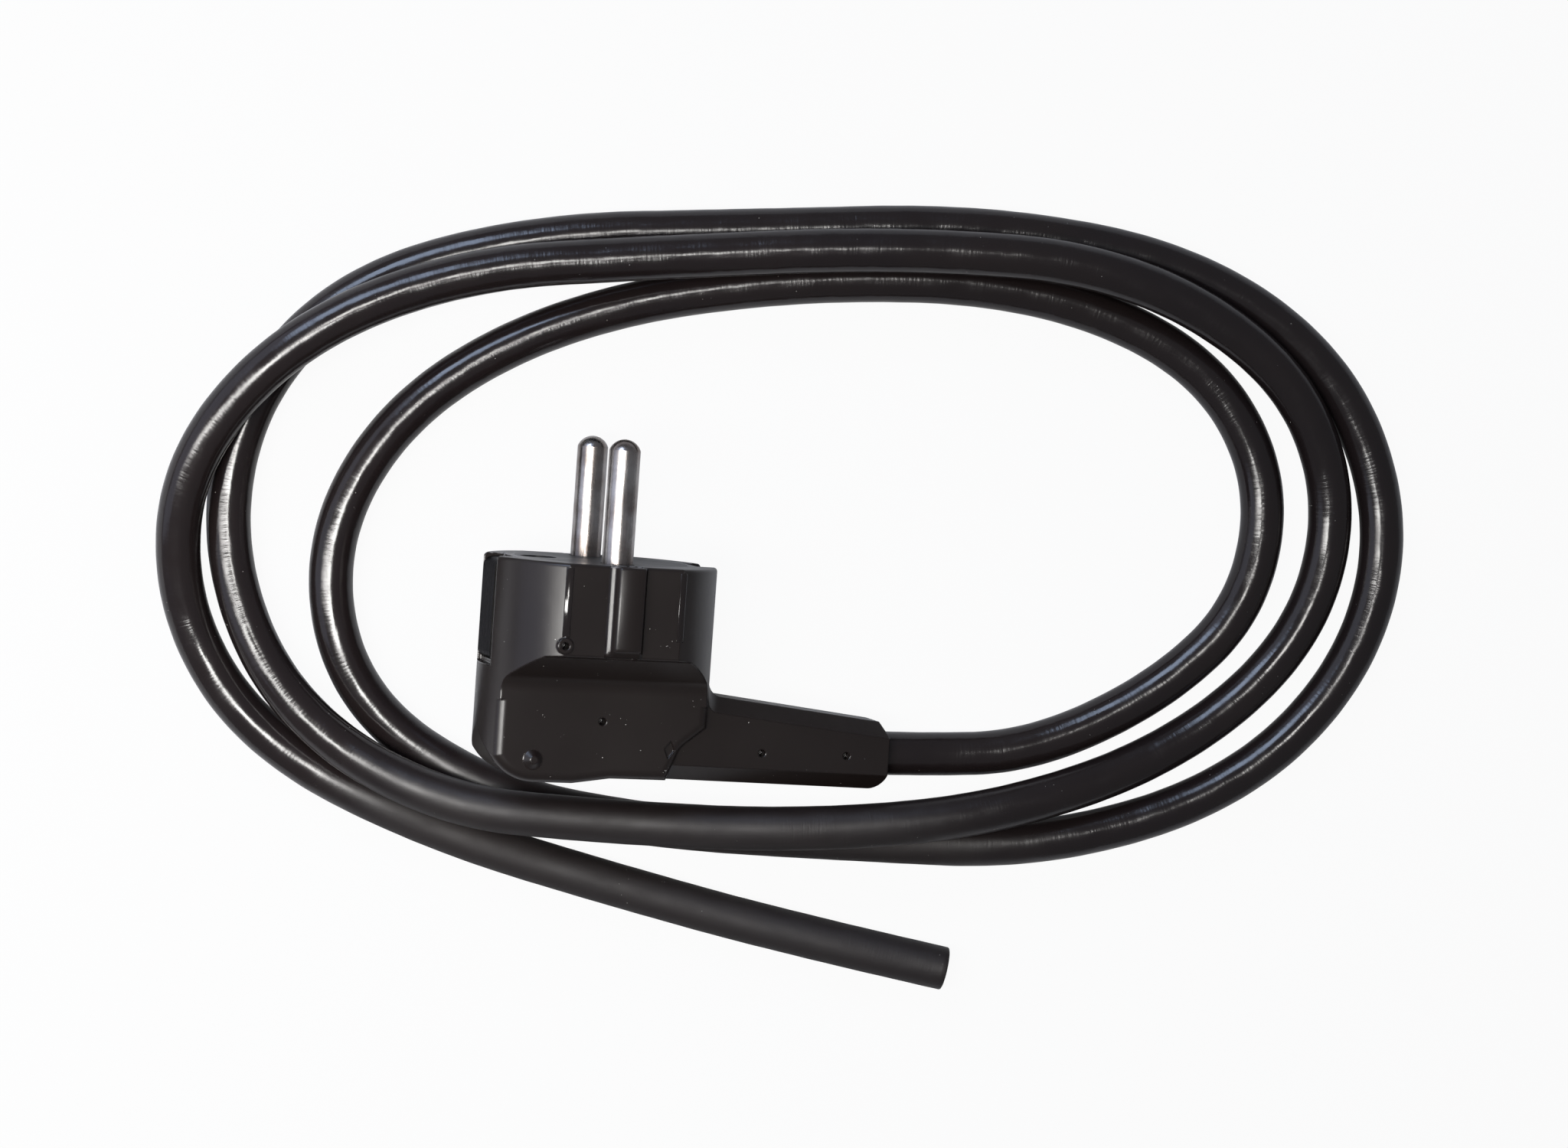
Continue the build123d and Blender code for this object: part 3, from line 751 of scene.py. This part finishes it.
# %% [markdown]
# Along the middle of each flat runs a low guide rib, which the CAD's solid has as a groove, so the rib is
# made over the groove. The same section is set at several depths behind the face. The outline is x and the
# share of the height, the underside is x and the height over the flat, and the rise is the depth behind the
# face and how far the rib has risen there: it starts rounded and sinks to the flat at its far end.

# %% Guide ribs on the flats
RIB_HEIGHT = 1.45
RIB_SKIN = 0.015
RIB_OUTLINE = (
    (-2.80, 0.0),
    (-2.05, 0.0),
    (-1.90, 0.05),
    (-1.78, 0.22),
    (-1.52, 0.80),
    (-1.42, 0.93),
    (-1.25, 0.995),
    (0.55, 1.0),
    (2.35, 0.995),
    (2.52, 0.93),
    (2.62, 0.80),
    (2.88, 0.22),
    (3.00, 0.05),
    (3.15, 0.0),
)
RIB_UNDERSIDE = (
    (3.15, -0.06),
    (2.45, -0.20),
    (1.95, -1.35),
    (-1.95, -1.35),
    (-2.45, -0.20),
    (-2.80, -0.06),
)
RIB_RISE = (
    (0.12, 0.80),
    (0.22, 0.93),
    (0.50, 1.0),
    (12.4, 1.0),
    (12.8, 0.93),
    (13.05, 0.60),
    (13.2, 0.0),
    (13.9, 0.0),
)


def guide_rib(name, side):
    """A rib on the flat above (side 1) or below (side -1) the plug's middle."""
    flat = FLAT_HEIGHT / MM
    rings = []
    for depth, rise in RIB_RISE:
        outline = [(x, flat + RIB_SKIN + z * rise * RIB_HEIGHT) for x, z in RIB_OUTLINE]
        outline += [(x, flat + z) for x, z in RIB_UNDERSIDE]
        rings.append([(x, -depth, side * z) for x, z in outline])
    return plug_skin(name, rings, len(rings[0]))


ribs = [guide_rib("guide_rib_upper", 1), guide_rib("guide_rib_under", -1)]
print("rib faces", [len(rib.data.polygons) for rib in ribs])

# %% [markdown]
# The corner between a flat and the round side is soft in the moulding, and catches a bright line. A slim
# bead of a few arc points on each corner gives that line a real curve to lie on. Its rings are the depth
# behind the face and how much the arc is drawn in there.

# %% Soft corners of the flats
CORNER_CURVE = 2.0
CORNER_PROUD = 0.03
CORNER_THICKNESS = 0.5
CORNER_HALF_TURN = math.asin(FLAT_HALF_CHORD / HEAD_RADIUS) / 2
CORNER_SPREAD = math.radians(17)
CORNER_STEPS = 8
CORNER_RINGS = ((0.55, 0.1), (0.7, 0.0), (10.9, 0.0), (11.1, 0.1))


def corner_bead(name, side, across):
    """A slim rounded bead along a flat's edge, above or below (side) and left or right (across)."""
    corner = Vector((FLAT_HALF_CHORD / MM, FLAT_HEIGHT / MM))
    outward = Vector((math.sin(CORNER_HALF_TURN), math.cos(CORNER_HALF_TURN)))
    centre = corner - outward * (CORNER_CURVE - CORNER_PROUD)
    inner = centre + outward * (CORNER_CURVE - CORNER_THICKNESS)
    shares = [2 * step / CORNER_STEPS - 1 for step in range(CORNER_STEPS + 1)]
    turns = [CORNER_HALF_TURN + CORNER_SPREAD * share for share in shares]
    rings = []
    for depth, drawn_in in CORNER_RINGS:
        reach = CORNER_CURVE - drawn_in
        arc = [(centre.x + reach * math.sin(t), centre.y + reach * math.cos(t)) for t in turns]
        rings.append([(across * x, -depth, side * z) for x, z in (*arc, inner)])
    return plug_skin(name, rings, CORNER_STEPS)


SIDES = (("upper", 1), ("under", -1))
ACROSS = (("left", -1), ("right", 1))
beads = [corner_bead(f"corner_{a}_{b}", side, across) for a, side in SIDES for b, across in ACROSS]
print("corner beads", len(beads))

# %% [markdown]
# ## A finish for every piece
# The CAD's nodes are named after what they are, so a finish follows from the name. The new cord replaces
# the CAD's own sheath, which gets a finish too.

# %% Give each node its finish
EDGE_TONES = ((0.009, 0.007, 0.0072), (0.015, 0.0115, 0.0105))
FINISHES = {
    "plug_body": moulding_material(),
    "polished_edge": plastic_material("polished_edge", *EDGE_TONES, 0.13, 380.0),
    "pin_bridge": plastic_material("bridge_resin", (0.012, 0.012, 0.013), (0.022, 0.021, 0.02), 0.4),
    "pin": nickel_material(),
    "contact": steel_material(),
    "line": plastic_material("core_brown", (0.075, 0.03, 0.014), (0.11, 0.045, 0.02), 0.38),
    "neutral": plastic_material("core_blue", (0.02, 0.07, 0.28), (0.03, 0.10, 0.36), 0.38),
    "earth": earth_core_material(),
    "copper": copper_material(),
}


def finish_of(name):
    """Which finish a CAD node gets."""
    if name in ("plug_body", "pin_bridge"):
        return name
    if name == "cord_sheath":
        return "plug_body"
    if name.startswith("earth_contact") or name == "earth_socket":
        return "contact"
    if name.endswith("_wire"):
        return "copper"
    if name.endswith("_pin"):
        return "pin"
    return name.replace("cut_", "").split("_")[0]


for name, node in nodes.items():
    node.data.materials.clear()
    node.data.materials.append(FINISHES[finish_of(name)])
for piece in ribs:
    piece.data.materials.append(FINISHES["plug_body"])
for piece in beads:
    piece.data.materials.append(FINISHES["polished_edge"])
print("finished nodes", len(nodes))
